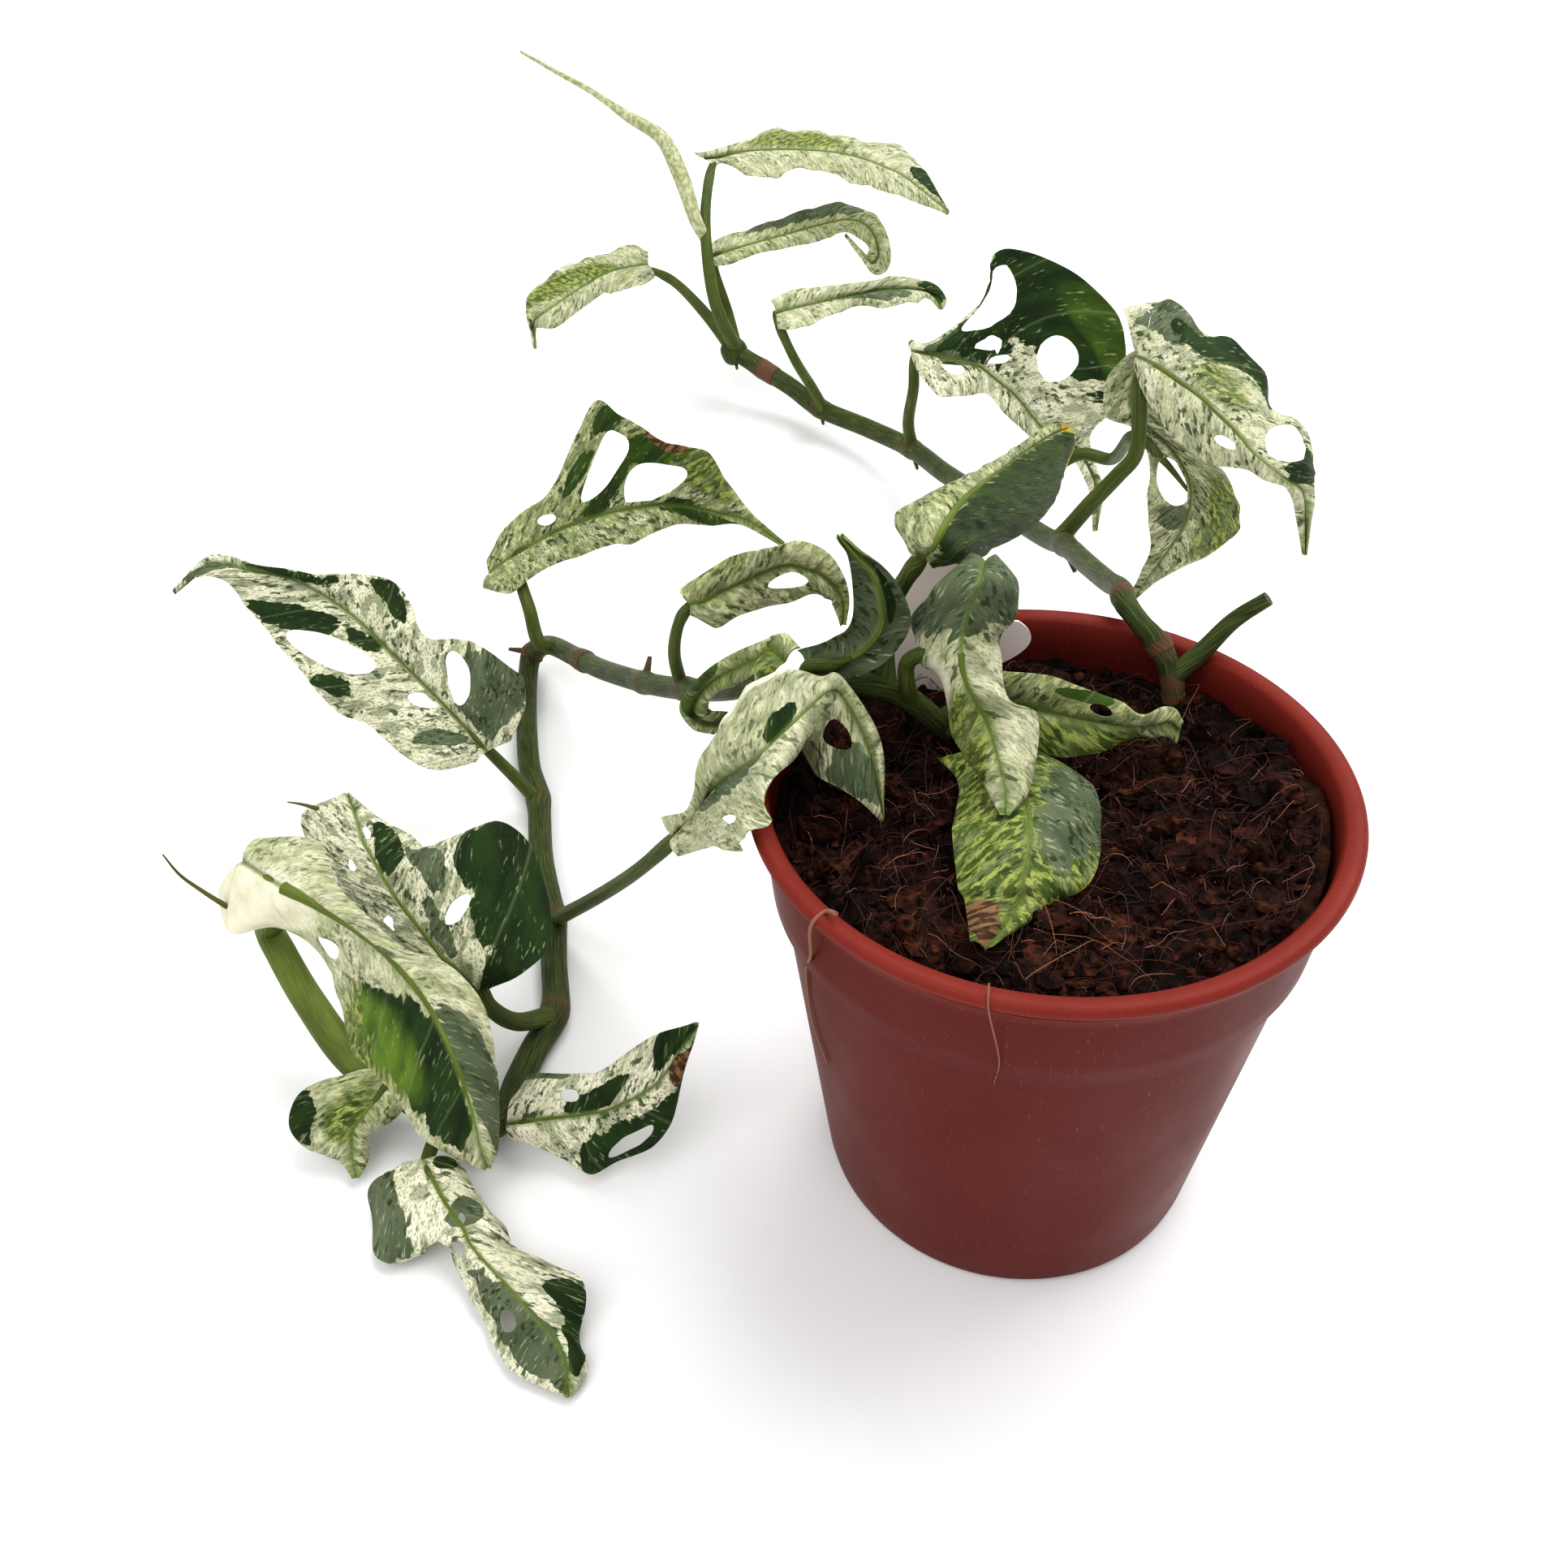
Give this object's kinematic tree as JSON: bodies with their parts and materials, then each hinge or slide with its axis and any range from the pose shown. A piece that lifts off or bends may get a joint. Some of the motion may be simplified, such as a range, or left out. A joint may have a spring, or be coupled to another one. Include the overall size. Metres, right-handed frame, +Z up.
{
  "type": "potted plant",
  "caption": "Trailing variegated Monstera in a round nursery pot, with vines that hang over the rim to both sides and holed, speckled leaves.",
  "frame": {"origin": "middle of the flat base of the pot, on the table", "axes": "+Z up; +Y towards the side to which the back vine trails; +X to the viewer's right; the viewer is at -Y"},
  "size_m": [0.3494, 0.6022, 0.1602],
  "materials": {
    "leaf": "satin",
    "stem": "satin",
    "pot_plastic": "matt",
    "soil": "rough",
    "tag_plastic": "satin"
  },
  "bodies": {
    "root": {"pot": "pot_plastic", "soil": "soil", "plant_tag": "tag_plastic", "vine_back": "stem", "vine_front": "stem", "leaf_front_dome": "leaf", "leaf_front_round": "leaf", "leaf_far_left": "leaf", "leaf_arched": "leaf", "leaf_small_curved": "leaf", "leaf_s_curl": "leaf", "leaf_rolled_lobe": "leaf", "leaf_on_soil": "leaf", "leaf_over_soil": "leaf", "leaf_roof": "leaf", "leaf_over_rim": "leaf", "leaf_looped": "leaf", "leaf_little_front": "leaf", "leaf_on_table": "leaf", "leaf_low_right": "leaf", "leaf_back_small": "leaf", "leaf_back_left": "leaf", "leaf_back_hooked": "leaf", "leaf_back_top": "leaf", "leaf_back_dark": "leaf", "leaf_back_fan": "leaf", "leaf_back_hanging": "leaf", "leaf_new_rolled": "leaf"}
  },
  "joints": []
}
